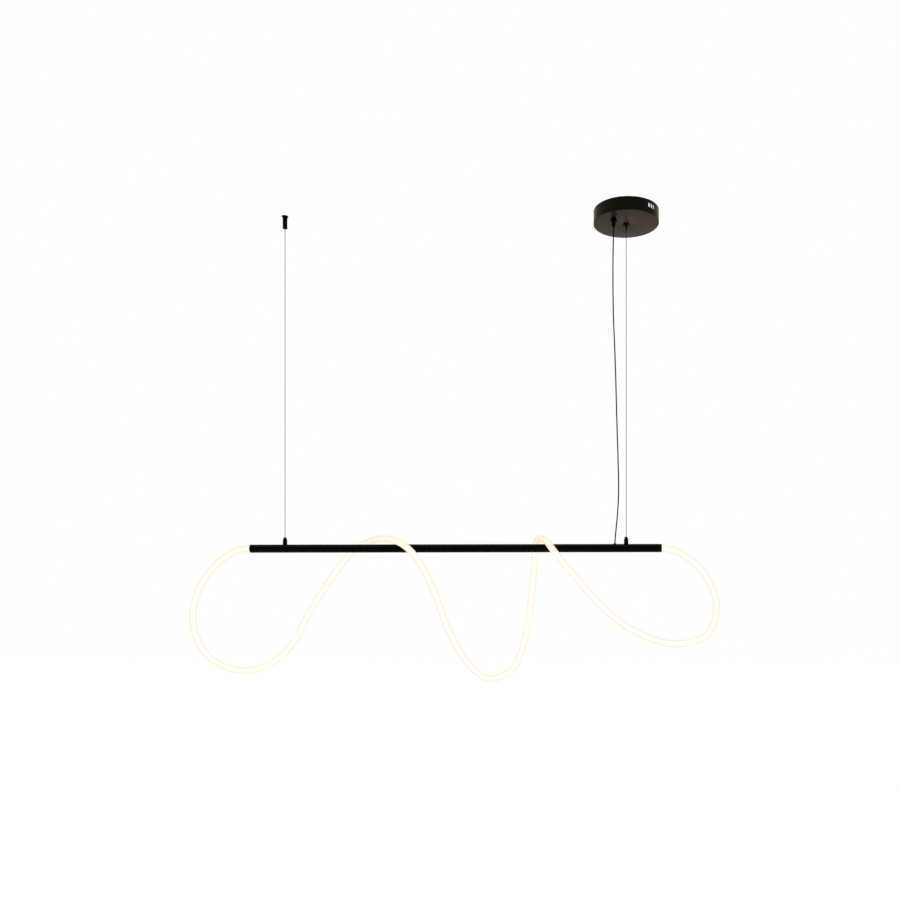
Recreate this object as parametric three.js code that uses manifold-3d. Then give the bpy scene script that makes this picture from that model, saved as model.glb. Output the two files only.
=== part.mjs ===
// Linear LED pendant: a slim black bar hung level on two steel wires, with one flexible glowing light
// tube that leaves the bar's left end, loops twice over the bar and goes back in at its right end.
// Millimetres, +Z up. The origin is the middle of the canopy's mounting plate, on the ceiling plane,
// +X runs along the bar to its right end and +Y to the back. The lamp hangs below the origin.

import * as THREE from "three";
import { mergeVertices } from "three/addons/utils/BufferGeometryUtils.js";
import Module from "manifold-3d";

const wasm = await Module();
wasm.setup();

// ---- Driving dimensions ----

const GAP = 0.3; // between pieces that touch

const WIRE_SPACING = 830; // between the two ceiling points
const WIRE_DIAMETER = 1.5;
const PIVOT_Z = -26; // where the ball of each wire swivels in its ceiling fitting
const SEAT_BOTTOM = PIVOT_Z - 3; // of the cone that the ball sits in
const SEAT_TOP = PIVOT_Z - 1.5;
const SEAT_BOTTOM_RADIUS = 2.7;

const BAR_LENGTH = 1000; // over its end sleeves
const BAR_DIAMETER = 20;
const BAR_WALL = 1;
const BAR_Z = -810; // axis of the bar
const BAR_X = -WIRE_SPACING / 2; // middle of the bar
const SLEEVE_VISIBLE = 8; // length of each end sleeve outside the bar tube
const SLEEVE_SPIGOT = 12; // and inside it

const LIGHT_TUBE_DIAMETER = 16;
const LIGHT_TUBE_BORE = 12;
const LIGHT_TUBE_INSERTED = 23; // length of each of its ends inside the bar
const LIGHT_TUBE_STEPS = 104;

const CANOPY_DIAMETER = 157;
const CANOPY_HEIGHT = 31;
const CANOPY_WALL = 1.2;
const CANOPY_BORE_RADIUS = 5.3; // for the stud, in the canopy's face and in the nut
const PLATE_THICKNESS = 1.5;
const RIGHT_NECK_REACH = 17; // of the right ferrule below the canopy's face

const ANCHOR_HEIGHT = 30; // of the small left ceiling anchor
const ANCHOR_DIAMETER = 11.5;
const ANCHOR_FLANGE = 15.5;
const ANCHOR_FLANGE_HEIGHT = 2.6;

const GRIPPER_HEIGHT = 17; // above the top of the bar
const SPIGOT_BOTTOM = 7; // of the gripper's threaded spigot, below the top of the bar
const GRIPPER_TOP_DIAMETER = 9.3;
const GRIPPER_BASE_DIAMETER = 10.9;
const NOZZLE_SHOWING = 3.8; // of the release nozzle above the gripper body
const NOZZLE_TRAVEL = 2;

const CABLE_DIAMETER = 3;
const GLAND_X = -31; // the cable gland in the canopy's face
const GLAND_Y = -39;
const CABLE_ENTRY_X = -27; // where the power cable goes into the top of the bar
const GLAND_NECK_HEIGHT = 4.8; // of the gland's neck below the canopy's face
const GLAND_NUT_HEIGHT = 6; // of the wide grip nut below the neck
const BOOT_BOTTOM = -54;

const WIRE_HOLE_RADIUS = WIRE_DIAMETER / 2 + GAP;
const CABLE_HOLE_RADIUS = CABLE_DIAMETER / 2 + GAP;
const BAR_RADIUS = BAR_DIAMETER / 2;
const BAR_TOP = BAR_Z + BAR_RADIUS;
const BAR_BORE = BAR_RADIUS - BAR_WALL;
const BAR_HALF = BAR_LENGTH / 2;
const CANOPY_FACE = -CANOPY_HEIGHT;
const LEFT_X = -WIRE_SPACING;
const RIGHT_X = 0;

// Middle line of the light tube, from inside the bar's left end to inside its right end, as
// [x, y, z] from the middle of the bar.
const LIGHT_TUBE_ROUTE = [
  [-477, 0, 0],
  [-502, 0, 0],
  [-545, 6, -8],
  [-600, 14, -47],
  [-644, 24, -110],
  [-658, 31, -186],
  [-624, 37, -264],
  [-552, 42, -300],
  [-477, 45, -289],
  [-414, 45, -236],
  [-369, 45, -155],
  [-267, 33, -13],
  [-231, 23, 11],
  [-207, 13, 19],
  [-185, 0, 23],
  [-152, -14, 21],
  [-118, -25, 7],
  [-78, -35, -34],
  [-38, -41, -114],
  [-8, -39, -195],
  [34, -26, -272],
  [83, -1, -315],
  [138, 23, -294],
  [166, 38, -228],
  [181, 43, -141],
  [193, 37, -9],
  [196, 21, 14],
  [207, 1, 23],
  [223, -19, 17],
  [244, -37, -10],
  [293, -42, -69],
  [363, -49, -146],
  [446, -51, -204],
  [532, -46, -227],
  [607, -36, -203],
  [627, -26, -134],
  [599, -14, -61],
  [546, -4, -14],
  [502, 0, 0],
  [477, 0, 0],
];

// Free stretch of the power cable, from inside the gland's boot to inside the bar, as [x, y, z].
const POWER_CABLE_ROUTE = [
  [-31, -39, -46],
  [-31, -39, -62],
  [-31.8, -39, -95],
  [-32.5, -38, -145],
  [-32.3, -36, -205],
  [-31, -33, -270],
  [-28, -29.5, -340],
  [-25.6, -25.5, -410],
  [-23.6, -21, -480],
  [-21.6, -16.5, -545],
  [-19.6, -12, -605],
  [-18.4, -8, -655],
  [-18.9, -4.6, -695],
  [-21, -2.2, -730],
  [-24, -0.7, -762],
  [-26.3, 0, -786],
  [-27, 0, -799],
  [-27, 0, -806],
];

// ---- Materials ----

function finish(color, roughness, metalness) {
  return new THREE.MeshStandardMaterial({ color, roughness, metalness });
}

const MATERIALS = {
  blackMetal: () => finish(0x17140f, 0.42, 0.6),
  canopyMetal: () => finish(0x2b2823, 0.45, 0.6),
  blackPlastic: () => finish(0x0c0c0c, 0.5, 0),
  steel: () => finish(0x8b8d90, 0.35, 1),
  zinc: () => finish(0xb8bcc0, 0.4, 1),
  brass: () => finish(0xb9974f, 0.3, 1),
  silicone: () => {
    const glowing = finish(0xfff8e8, 0.5, 0);
    glowing.emissive = new THREE.Color(0xfff4dc);
    return glowing;
  },
  ledBoard: () => finish(0xf3f1e6, 0.5, 0),
  driverPlastic: () => finish(0xe8e8e4, 0.5, 0),
  circuitBoard: () => finish(0x1f6b3a, 0.5, 0),
  transformer: () => finish(0xd9b53a, 0.5, 0),
  terminal: () => finish(0xe9e6da, 0.45, 0),
  brownLead: () => finish(0x6b3a1e, 0.5, 0),
  blueLead: () => finish(0x2c4f9e, 0.5, 0),
};

// ---- Solids ----

// A closed three.js geometry as a solid that can be joined and cut.
function solidOf(geometry) {
  const plain = geometry.clone();
  plain.deleteAttribute("normal");
  plain.deleteAttribute("uv");
  const merged = mergeVertices(plain, 1e-4);
  const mesh = new wasm.Mesh({
    numProp: 3,
    vertProperties: new Float32Array(merged.attributes.position.array),
    triVerts: new Uint32Array(merged.index.array),
  });
  mesh.merge();
  return new wasm.Manifold(mesh);
}

function geometryOf(solid) {
  const mesh = solid.getMesh();
  const geometry = new THREE.BufferGeometry();
  geometry.setAttribute("position", new THREE.BufferAttribute(mesh.vertProperties, 3));
  geometry.setIndex(new THREE.BufferAttribute(mesh.triVerts, 1));
  geometry.computeVertexNormals();
  return geometry;
}

function cut(geometry, ...tools) {
  let solid = solidOf(geometry);
  for (const tool of tools) {
    solid = solid.subtract(solidOf(tool));
  }
  return geometryOf(solid);
}

function join(...geometries) {
  let solid = solidOf(geometries[0]);
  for (const other of geometries.slice(1)) {
    solid = solid.add(solidOf(other));
  }
  return geometryOf(solid);
}

// A profile of [radius, height] points turned round the Z axis. Its points run anticlockwise, with
// the radius to the right and the height up, and it is closed here.
function turned(profile, segments = 16) {
  const points = profile.map(([radius, height]) => new THREE.Vector2(radius, height));
  const closed = profile[0][0] > 0 || profile.at(-1)[0] > 0;
  if (closed) {
    points.push(points[0].clone());
  }
  return new THREE.LatheGeometry(points, segments).rotateX(Math.PI / 2);
}

// The same, turned round a line along +X, with the heights as distances along it.
function turnedAlongX(profile, segments = 16) {
  return turned(profile, segments).rotateY(Math.PI / 2);
}

function rod(radius, bottom, top, segments = 16) {
  return turned([[0, bottom], [radius, bottom], [radius, top], [0, top]], segments);
}

function ring(inner, outer, bottom, top, segments = 16) {
  return turned([[inner, bottom], [outer, bottom], [outer, top], [inner, top]], segments);
}

function hexNut(boreRadius, cornerRadius, bottom, top) {
  return cut(rod(cornerRadius, bottom, top, 6), rod(boreRadius, bottom - 1, top + 1));
}

function box(low, high) {
  const size = high.map((value, i) => value - low[i]);
  const middle = high.map((value, i) => (value + low[i]) / 2);
  return new THREE.BoxGeometry(...size).translate(...middle);
}

function polygon(radius, sides) {
  const corners = [];
  for (let i = 0; i < sides; i += 1) {
    const angle = (2 * Math.PI * i) / sides;
    corners.push(new THREE.Vector2(radius * Math.cos(angle), radius * Math.sin(angle)));
  }
  return corners;
}

function smoothCurve(points) {
  const places = points.map((point) => new THREE.Vector3(...point));
  return new THREE.CatmullRomCurve3(places, false, "centripetal");
}

function along(curve, shape, steps) {
  return new THREE.ExtrudeGeometry(shape, { steps, extrudePath: curve, bevelEnabled: false });
}

function lead(points, diameter, steps, sides = 8) {
  return along(smoothCurve(points), new THREE.Shape(polygon(diameter / 2, sides)), steps);
}

// ---- Assembly ----

const lamp = new THREE.Group();

function add(parent, name, geometry, material) {
  const mesh = new THREE.Mesh(geometry, material());
  mesh.name = name;
  parent.add(mesh);
}

// ---- Mounting plate, canopy and its centre fitting ----

function mountingPlate() {
  const strap = box([-10, -70, -PLATE_THICKNESS], [10, 70, 0]);
  const driverArea = box([-48, 12, -PLATE_THICKNESS], [48, 54, 0]);
  const screwHole = rod(2.6, -PLATE_THICKNESS - 1, 1);
  const ceilingScrews = [-61, 62].map((y) => screwHole.clone().translate(0, y, 0));
  return cut(join(strap, driverArea), ...ceilingScrews);
}

const ROUND_CANOPY = 48;
const VENT_ANGLES = [41, 46.75, 52.5]; // degrees from the front towards the right
const VENT_WIDTH = 4.6;
const VENT_BOTTOM = -17.5;
const VENT_TOP = -7.5;

function canopyShell() {
  const outer = CANOPY_DIAMETER / 2;
  const inner = outer - CANOPY_WALL;
  const edge = 1; // round edge below
  const face = CANOPY_FACE;
  const shell = turned(
    [
      [CANOPY_BORE_RADIUS, face],
      [outer - edge, face],
      [outer, face + edge],
      [outer, 0],
      [inner, 0],
      [inner, face + CANOPY_WALL],
      [CANOPY_BORE_RADIUS, face + CANOPY_WALL],
    ],
    ROUND_CANOPY,
  );
  const vents = [];
  for (const half of [0, 180]) {
    for (const angle of VENT_ANGLES) {
      const slot = box(
        [-VENT_WIDTH / 2, -outer - 3, VENT_BOTTOM],
        [VENT_WIDTH / 2, -outer + 5, VENT_TOP],
      );
      vents.push(slot.rotateZ(THREE.MathUtils.degToRad(angle + half)));
    }
  }
  const glandHole = rod(4.3, face - 2, face + 4).translate(GLAND_X, GLAND_Y, 0);
  return cut(shell, glandHole, ...vents);
}

function canopy() {
  const group = new THREE.Group();
  const nutTop = CANOPY_FACE - GAP;
  const nutBottom = nutTop - 3.4;
  add(group, "mounting_plate", mountingPlate(), MATERIALS.zinc);
  add(group, "canopy_shell", canopyShell(), MATERIALS.canopyMetal);

  // Hollow stud from the plate through the canopy's face. The swivel ball sits on its bottom seat.
  const studTop = -PLATE_THICKNESS - GAP;
  const shoulder = -12;
  const stud = turned([
    [SEAT_BOTTOM_RADIUS, SEAT_BOTTOM],
    [3.2, nutBottom],
    [5, nutBottom],
    [5, shoulder],
    [7, shoulder],
    [7, studTop],
    [4.1, studTop],
    [4.1, SEAT_TOP],
  ]);
  add(group, "canopy_stud", stud, MATERIALS.blackMetal);
  const nut = ring(CANOPY_BORE_RADIUS, 7.4, nutBottom, nutTop, 24);
  add(group, "canopy_retaining_nut", nut, MATERIALS.blackMetal);
  return group;
}

// ---- LED driver under the mounting plate ----

const DRIVER_LOW = [-45, 14, -23];
const DRIVER_HIGH = [45, 52, -2.1];
const DRIVER_WALL = 1.5;

function driver() {
  const group = new THREE.Group();
  const [x0, y0, z0] = DRIVER_LOW;
  const [x1, y1, z1] = DRIVER_HIGH;
  const coverTop = z0 + 2;
  const boardThickness = 1.6;
  const hollow = box(
    [x0 + DRIVER_WALL, y0 + DRIVER_WALL, z0 - 1],
    [x1 - DRIVER_WALL, y1 - DRIVER_WALL, z1 - DRIVER_WALL],
  );
  const leadWays = box([x0 - 1, 17, coverTop - 1], [x1 + 1, 26, coverTop + 4.5]);
  const body = box([x0, y0, coverTop + GAP], [x1, y1, z1]);
  add(group, "driver_case", cut(body, hollow, leadWays), MATERIALS.driverPlastic);
  add(group, "driver_cover", box([x0, y0, z0], [x1, y1, coverTop]), MATERIALS.driverPlastic);

  const boardTop = z1 - DRIVER_WALL - 1;
  const board = box([x0 + 4, y0 + 4, boardTop - boardThickness], [x1 - 4, y1 - 4, boardTop]);
  add(group, "driver_board", board, MATERIALS.circuitBoard);
  const partsTop = boardTop - boardThickness - GAP;
  const transformer = box([-8, 29, partsTop - 10], [12, 46, partsTop]);
  add(group, "driver_transformer", transformer, MATERIALS.transformer);
  const capacitor = rod(4.5, partsTop - 11, partsTop).translate(-24, 38, 0);
  add(group, "driver_capacitor", capacitor, MATERIALS.blackPlastic);
  return group;
}

// ---- Terminal block, clamps and leads inside the canopy ----

function terminals() {
  const group = new THREE.Group();
  const top = -PLATE_THICKNESS - GAP;
  const wayZ = top - 6.4; // middle of the ways that the leads go into
  const screwYs = [-49, -42, -35];
  const block = box([-7, -53, top - 12], [7, -31, top]);
  const ways = screwYs.map((y) => box([-9, y - 1.6, wayZ - 1.6], [9, y + 1.6, wayZ + 1.6]));
  const screwHoles = screwYs.map((y) => rod(2.3, top - 13, top - 6, 12).translate(0, y, 0));
  add(group, "terminal_block", cut(block, ...ways, ...screwHoles), MATERIALS.terminal);
  screwYs.forEach((y, i) => {
    const screw = rod(1.9, top - 11.5, top - 8.4, 12).translate(0, y, 0);
    add(group, "terminal_screw_" + (i + 1), screw, MATERIALS.brass);
  });

  // From the terminal block round the right side of the canopy to the driver's mains end.
  const live = [
    [4, -49, wayZ],
    [14, -49, wayZ],
    [30, -46, -13],
    [46, -36, -17],
    [57, -18, -19],
    [60, 2, -19],
    [55, 17, -18.6],
    [46, 21.5, -18.6],
    [38, 21.5, -18.6],
  ];
  const neutral = [
    [4, -42, wayZ],
    [13, -42, wayZ],
    [27, -38, -11],
    [40, -27, -14],
    [48, -12, -15.2],
    [52, 2, -15.2],
    [50.5, 13, -17],
    [46, 18.8, -18.6],
    [38, 18.8, -18.6],
  ];
  add(group, "live_lead", lead(live, 2, 16), MATERIALS.brownLead);
  add(group, "neutral_lead", lead(neutral, 2, 16), MATERIALS.blueLead);

  const earthY = -22;
  const headTop = top - 1 - GAP;
  const washer = ring(2.3, 5, top - 1, top).translate(0, earthY, 0);
  const earthHead = turned([
    [0, headTop - 2.9],
    [3.2, headTop - 2.9],
    [3.2, headTop],
    [1.9, headTop],
    [1.9, top],
    [0, top],
  ]).translate(0, earthY, 0);
  add(group, "earth_washer", washer, MATERIALS.brass);
  add(group, "earth_screw", earthHead, MATERIALS.zinc);
  return group;
}

function gland() {
  const group = new THREE.Group();
  const face = CANOPY_FACE;
  const inside = face + CANOPY_WALL;
  const nutTop = face - GLAND_NECK_HEIGHT;
  const bodyBottom = nutTop - GLAND_NUT_HEIGHT;
  const bootTop = bodyBottom - GAP;
  // Threaded body: its neck and grip nut are under the face, its thread goes up through the hole.
  const body = turned([
    [2, bodyBottom],
    [8, bodyBottom],
    [8, nutTop - 0.8],
    [7.2, nutTop],
    [5.2, nutTop],
    [5.2, face - GAP],
    [4, face - GAP],
    [4, inside + 5],
    [2, inside + 5],
  ]);
  const nut = hexNut(4.4, 7, inside + GAP, inside + 3.3);
  const boot = turned([
    [1.8, BOOT_BOTTOM],
    [2.8, BOOT_BOTTOM],
    [4.6, BOOT_BOTTOM + 2],
    [5, bootTop],
    [1.8, bootTop],
  ]);
  add(group, "cable_gland_body", body.translate(GLAND_X, GLAND_Y, 0), MATERIALS.blackPlastic);
  add(group, "cable_gland_nut", nut.translate(GLAND_X, GLAND_Y, 0), MATERIALS.blackPlastic);
  add(group, "cable_gland_boot", boot.translate(GLAND_X, GLAND_Y, 0), MATERIALS.blackPlastic);

  // The cable's end inside the canopy, from the gland to the driver's output end.
  const cableEnd = [
    [GLAND_X, GLAND_Y, -45.5],
    [GLAND_X, GLAND_Y, -32],
    [GLAND_X, GLAND_Y, -24],
    [GLAND_X, GLAND_Y + 0.5, -19],
    [-33, -34, -14],
    [-41, -23, -13],
    [-51, -8, -14.5],
    [-56, 6, -17],
    [-53, 18, -18.6],
    [-45, 22, -18.6],
    [-38, 22, -18.6],
  ];
  add(group, "canopy_cable_end", lead(cableEnd, CABLE_DIAMETER, 20), MATERIALS.blackPlastic);
  return group;
}

// ---- Left ceiling anchor ----

function leftAnchor() {
  const group = new THREE.Group();
  const flange = ANCHOR_FLANGE / 2;
  const screwHole = 1.9;
  const base = turned([
    [screwHole, -ANCHOR_FLANGE_HEIGHT],
    [flange - 1, -ANCHOR_FLANGE_HEIGHT],
    [flange, -1.8],
    [flange, -0.8],
    [flange - 0.8, 0],
    [screwHole, 0],
  ]);
  const neck = ring(screwHole, 4, -9, -2);
  add(group, "left_anchor_base", join(base, neck), MATERIALS.blackMetal);
  const outer = ANCHOR_DIAMETER / 2;
  const bottom = -ANCHOR_HEIGHT;
  const capTop = -ANCHOR_FLANGE_HEIGHT - GAP;
  const cap = turned([
    [SEAT_BOTTOM_RADIUS, SEAT_BOTTOM],
    [2.8, bottom],
    [outer - 0.6, bottom],
    [outer, bottom + 0.6],
    [outer, bottom + 2.4],
    [outer - 0.3, bottom + 2.7],
    [outer - 0.3, capTop],
    [4.3, capTop],
    [4.3, SEAT_TOP],
  ]);
  add(group, "left_anchor_cap", cap, MATERIALS.blackMetal);
  group.position.x = LEFT_X;
  return group;
}

// ---- Swivel ball, ferrule and wire at one ceiling point ----

// The ball's bore is wide enough for the ferrule to tilt in it.
function swivelBall() {
  const radius = 3.5;
  const bore = 2.3;
  const profile = [];
  const lowest = -Math.acos(bore / radius);
  const highest = Math.acos((bore + 0.3) / radius);
  const arcs = 6;
  for (let i = 0; i <= arcs; i += 1) {
    const angle = lowest + ((highest - lowest) * i) / arcs;
    profile.push([radius * Math.cos(angle), PIVOT_Z + radius * Math.sin(angle)]);
  }
  return turned(profile);
}

// A crimped sleeve with a head above the ball. Its thin neck reaches down to neckBottom.
function ferrule(neckBottom) {
  const neck = 1.75;
  const headBottom = PIVOT_Z + 3.1;
  const headTop = PIVOT_Z + 5;
  return turned([
    [WIRE_HOLE_RADIUS, neckBottom],
    [neck - 0.2, neckBottom],
    [neck, neckBottom + 0.4],
    [neck, headBottom],
    [3, headBottom],
    [3, headTop],
    [WIRE_HOLE_RADIUS, headTop],
  ]);
}

const NOZZLE_TOP = BAR_TOP + GRIPPER_HEIGHT;
const GRIPPER_PIVOT_Z = BAR_TOP + 6.5; // middle of the collet that holds the wire
const WIRE_TOP = PIVOT_Z + 4.5;
const WIRE_BOTTOM = GRIPPER_PIVOT_Z - 13.5;

function hanger(side, x, neckBottom) {
  const group = new THREE.Group();
  add(group, side + "_swivel_ball", swivelBall(), MATERIALS.blackMetal);
  add(group, side + "_wire_ferrule", ferrule(neckBottom), MATERIALS.blackMetal);
  const wire = rod(WIRE_DIAMETER / 2, WIRE_BOTTOM, WIRE_TOP, 8);
  add(group, side + "_wire", wire, MATERIALS.steel);
  group.position.x = x;
  return group;
}

// ---- Wire gripper on the bar ----

const GRIPPER_BORE_RADIUS = 3.6;
const GRIPPER_BORE_BOTTOM = BAR_TOP + 1;
const GRIPPER_BODY_TOP = NOZZLE_TOP - NOZZLE_SHOWING;

function gripperBody() {
  const base = GRIPPER_BASE_DIAMETER / 2;
  const skirtBottom = BAR_TOP - 4; // cut away again where the bar is
  const shell = turned([
    [0, skirtBottom],
    [base, skirtBottom],
    [base, GRIPPER_BORE_BOTTOM],
    [GRIPPER_TOP_DIAMETER / 2 + 0.35, GRIPPER_BODY_TOP],
    [0, GRIPPER_BODY_TOP],
  ]);
  const seat = BAR_RADIUS + GAP;
  const saddle = turnedAlongX([[0, -12], [seat, -12], [seat, 12], [0, 12]], 64);
  const spigot = rod(3.7, BAR_TOP - SPIGOT_BOTTOM, BAR_TOP + 2);
  const bore = rod(GRIPPER_BORE_RADIUS, GRIPPER_BORE_BOTTOM, GRIPPER_BODY_TOP + 1);
  const wireWay = rod(2.4, BAR_TOP - SPIGOT_BOTTOM - 1, BAR_TOP + 2);
  return cut(join(cut(shell, saddle.translate(0, 0, BAR_Z)), spigot), bore, wireWay);
}

// The nozzle's collar stands on top of the gripper and its skirt goes down round the collet.
function releaseNozzle() {
  const collarBottom = GRIPPER_BODY_TOP + NOZZLE_TRAVEL + GAP;
  const radius = GRIPPER_TOP_DIAMETER / 2;
  const skirt = GRIPPER_BORE_RADIUS - GAP;
  const skirtBottom = BAR_TOP + 10.4;
  return turned([
    [2.75, skirtBottom],
    [skirt, skirtBottom],
    [skirt, collarBottom],
    [radius, collarBottom],
    [radius - 0.1, NOZZLE_TOP - 0.5],
    [radius - 0.6, NOZZLE_TOP],
    [2.4, NOZZLE_TOP],
    [2.4, BAR_TOP + 12.5],
  ]);
}

function gripperSpring() {
  const bottom = BAR_TOP + 1.8;
  const height = 7.9;
  const turns = 4;
  const stepsPerTurn = 8;
  const points = [];
  const steps = turns * stepsPerTurn;
  const radius = 3;
  for (let i = 0; i <= steps; i += 1) {
    const angle = (2 * Math.PI * i) / stepsPerTurn;
    const z = bottom + (height * i) / steps;
    points.push([radius * Math.cos(angle), radius * Math.sin(angle), z]);
  }
  return lead(points, 0.5, steps, 4);
}

function gripper(side, x) {
  const group = new THREE.Group();
  add(group, side + "_gripper_body", gripperBody(), MATERIALS.blackMetal);
  add(group, side + "_release_nozzle", releaseNozzle(), MATERIALS.blackMetal);
  add(group, side + "_gripper_spring", gripperSpring(), MATERIALS.steel);
  const colletEnd = 3.5; // from the pivot, up and down
  const collet = turned([
    [WIRE_HOLE_RADIUS, GRIPPER_PIVOT_Z - colletEnd],
    [1.6, GRIPPER_PIVOT_Z - colletEnd],
    [2, GRIPPER_PIVOT_Z - colletEnd + 0.6],
    [2, GRIPPER_PIVOT_Z + colletEnd - 1.5],
    [1.6, GRIPPER_PIVOT_Z + colletEnd],
    [WIRE_HOLE_RADIUS, GRIPPER_PIVOT_Z + colletEnd],
  ]);
  add(group, side + "_collet", collet, MATERIALS.brass);
  const lockNut = hexNut(4.1, 5.6, BAR_TOP - 6.6, BAR_TOP - 4);
  add(group, side + "_gripper_nut", lockNut, MATERIALS.zinc);
  group.position.x = x;
  return group;
}

// ---- Bar ----

const ROUND_BAR = 32;
const GRUB_SCREW_INSET = SLEEVE_VISIBLE + 6; // from each end of the bar
const GRUB_SCREW_XS = [-1, 1].map((end) => BAR_X + end * (BAR_HALF - GRUB_SCREW_INSET));

function barTube() {
  const half = BAR_HALF - SLEEVE_VISIBLE;
  const tube = turnedAlongX(
    [[BAR_BORE, -half], [BAR_RADIUS, -half], [BAR_RADIUS, half], [BAR_BORE, half]],
    ROUND_BAR,
  ).translate(BAR_X, 0, BAR_Z);
  const above = BAR_TOP + 5;
  const gripperHoles = [LEFT_X, RIGHT_X].map((x) => rod(4, BAR_Z, above).translate(x, 0, 0));
  const cableHole = rod(3, BAR_Z, above).translate(CABLE_ENTRY_X, 0, 0);
  const grubHoles = GRUB_SCREW_XS.map((x) => rod(1.6, BAR_Z, above, 12).translate(x, 0, 0));
  return cut(tube, ...gripperHoles, cableHole, ...grubHoles);
}

// The sleeve ends the bar. Its spigot sits in the bar tube and the light tube goes through it.
function endSleeve() {
  const bore = LIGHT_TUBE_DIAMETER / 2 + 0.35;
  const spigot = BAR_BORE - 0.25;
  const end = SLEEVE_SPIGOT + SLEEVE_VISIBLE - GAP;
  return turnedAlongX(
    [
      [bore, 0],
      [spigot, 0],
      [spigot, SLEEVE_SPIGOT],
      [BAR_RADIUS, SLEEVE_SPIGOT],
      [BAR_RADIUS, end - 1],
      [BAR_RADIUS - 0.9, end],
      [bore, end],
    ],
    ROUND_BAR,
  );
}

function bar() {
  const group = new THREE.Group();
  add(group, "bar_tube", barTube(), MATERIALS.blackMetal);
  const start = BAR_HALF - SLEEVE_VISIBLE - SLEEVE_SPIGOT + GAP;
  const right = endSleeve().translate(BAR_X + start, 0, BAR_Z);
  const left = endSleeve().rotateZ(Math.PI).translate(BAR_X - start, 0, BAR_Z);
  add(group, "right_end_sleeve", right, MATERIALS.blackMetal);
  add(group, "left_end_sleeve", left, MATERIALS.blackMetal);
  ["left", "right"].forEach((side, i) => {
    const screw = rod(1.3, BAR_TOP - 0.85, BAR_TOP - 0.1, 12).translate(GRUB_SCREW_XS[i], 0, 0);
    add(group, side + "_grub_screw", screw, MATERIALS.zinc);
  });
  return group;
}

// ---- Light tube and the LED strip inside it ----

function lightTube() {
  const group = new THREE.Group();
  const curve = smoothCurve(LIGHT_TUBE_ROUTE);
  const wall = new THREE.Shape(polygon(LIGHT_TUBE_DIAMETER / 2, 10));
  wall.holes.push(new THREE.Path(polygon(LIGHT_TUBE_BORE / 2, 6).reverse()));
  add(group, "light_tube", along(curve, wall, LIGHT_TUBE_STEPS), MATERIALS.silicone);
  const halfWidth = 4;
  const halfThickness = 0.8;
  const strip = new THREE.Shape([
    new THREE.Vector2(-halfWidth, -halfThickness),
    new THREE.Vector2(halfWidth, -halfThickness),
    new THREE.Vector2(halfWidth, halfThickness),
    new THREE.Vector2(-halfWidth, halfThickness),
  ]);
  add(group, "led_strip", along(curve, strip, LIGHT_TUBE_STEPS), MATERIALS.ledBoard);
  group.position.set(BAR_X, 0, BAR_Z);
  return group;
}

// ---- Leads inside the bar ----

function barLeads() {
  const group = new THREE.Group();
  const floor = BAR_Z - 5.2; // middle of a lead that lies at the bottom of the bore
  const splice = [CABLE_ENTRY_X - 34, CABLE_ENTRY_X - 14]; // the connector's two ends
  const bulge = BAR_Z - 0.8; // where a lead starts to drop, a little below the bar's axis
  const reach = BAR_HALF - LIGHT_TUBE_INSERTED - GAP;
  const ends = [BAR_X - reach, BAR_X + reach];
  const left = lead(
    [
      [ends[0], 0, BAR_Z],
      [ends[0] + 12, 0, bulge],
      [ends[0] + 40, 0, floor],
      [BAR_X - 200, 0, floor],
      [BAR_X + 200, 0, floor],
      [splice[0] - 10, 0, floor + 0.5],
      [splice[0] - GAP, 0, floor + 0.5],
    ],
    CABLE_DIAMETER,
    12,
  );
  const right = lead(
    [
      [splice[1] + 0.5, -2.4, floor + 1.3],
      [splice[1] + 12, -2.4, floor],
      [CABLE_ENTRY_X + 10, 0, floor],
      [20, 0, floor],
      [ends[1] - 30, 0, floor],
      [ends[1] - 12, 0, bulge],
      [ends[1], 0, BAR_Z],
    ],
    CABLE_DIAMETER,
    12,
  );
  const cableEnd = lead(
    [
      [CABLE_ENTRY_X, 0, BAR_TOP - 7],
      [CABLE_ENTRY_X - 1.5, 0.6, BAR_TOP - 9],
      [CABLE_ENTRY_X - 6, 2, BAR_TOP - 11.8],
      [splice[1] + 0.7, 2.4, floor + 1.5],
    ],
    CABLE_DIAMETER,
    10,
  );
  const connector = box([splice[0], -4.6, floor - 1], [splice[1], 4.6, floor + 4.4]);
  add(group, "left_bar_lead", left, MATERIALS.blackPlastic);
  add(group, "right_bar_lead", right, MATERIALS.blackPlastic);
  add(group, "bar_cable_end", cableEnd, MATERIALS.blackPlastic);
  add(group, "splice_connector", connector, MATERIALS.terminal);
  const grommet = turned([
    [CABLE_HOLE_RADIUS, BAR_TOP - 3],
    [2.7, BAR_TOP - 3],
    [2.7, BAR_TOP + GAP],
    [3.8, BAR_TOP + GAP],
    [3.4, BAR_TOP + 1.4],
    [CABLE_HOLE_RADIUS, BAR_TOP + 1.4],
  ]).translate(CABLE_ENTRY_X, 0, 0);
  add(group, "cable_grommet", grommet, MATERIALS.blackPlastic);
  return group;
}

function powerCable() {
  const group = new THREE.Group();
  add(group, "power_cable", lead(POWER_CABLE_ROUTE, CABLE_DIAMETER, 44), MATERIALS.blackPlastic);
  return group;
}

lamp.add(
  canopy(),
  driver(),
  terminals(),
  gland(),
  leftAnchor(),
  hanger("right", RIGHT_X, CANOPY_FACE - RIGHT_NECK_REACH),
  hanger("left", LEFT_X, -ANCHOR_HEIGHT + 1),
  gripper("right", RIGHT_X),
  gripper("left", LEFT_X),
  bar(),
  lightTube(),
  barLeads(),
  powerCable(),
);

export default lamp;
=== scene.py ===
"""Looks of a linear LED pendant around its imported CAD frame, in metres.

A slim black bar hangs on two steel wires, and a flexible glowing tube loops over it from end to end.
+X runs along the bar, +Y to the back, +Z up, and the ceiling plane is z = 0.
"""
import math

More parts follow.
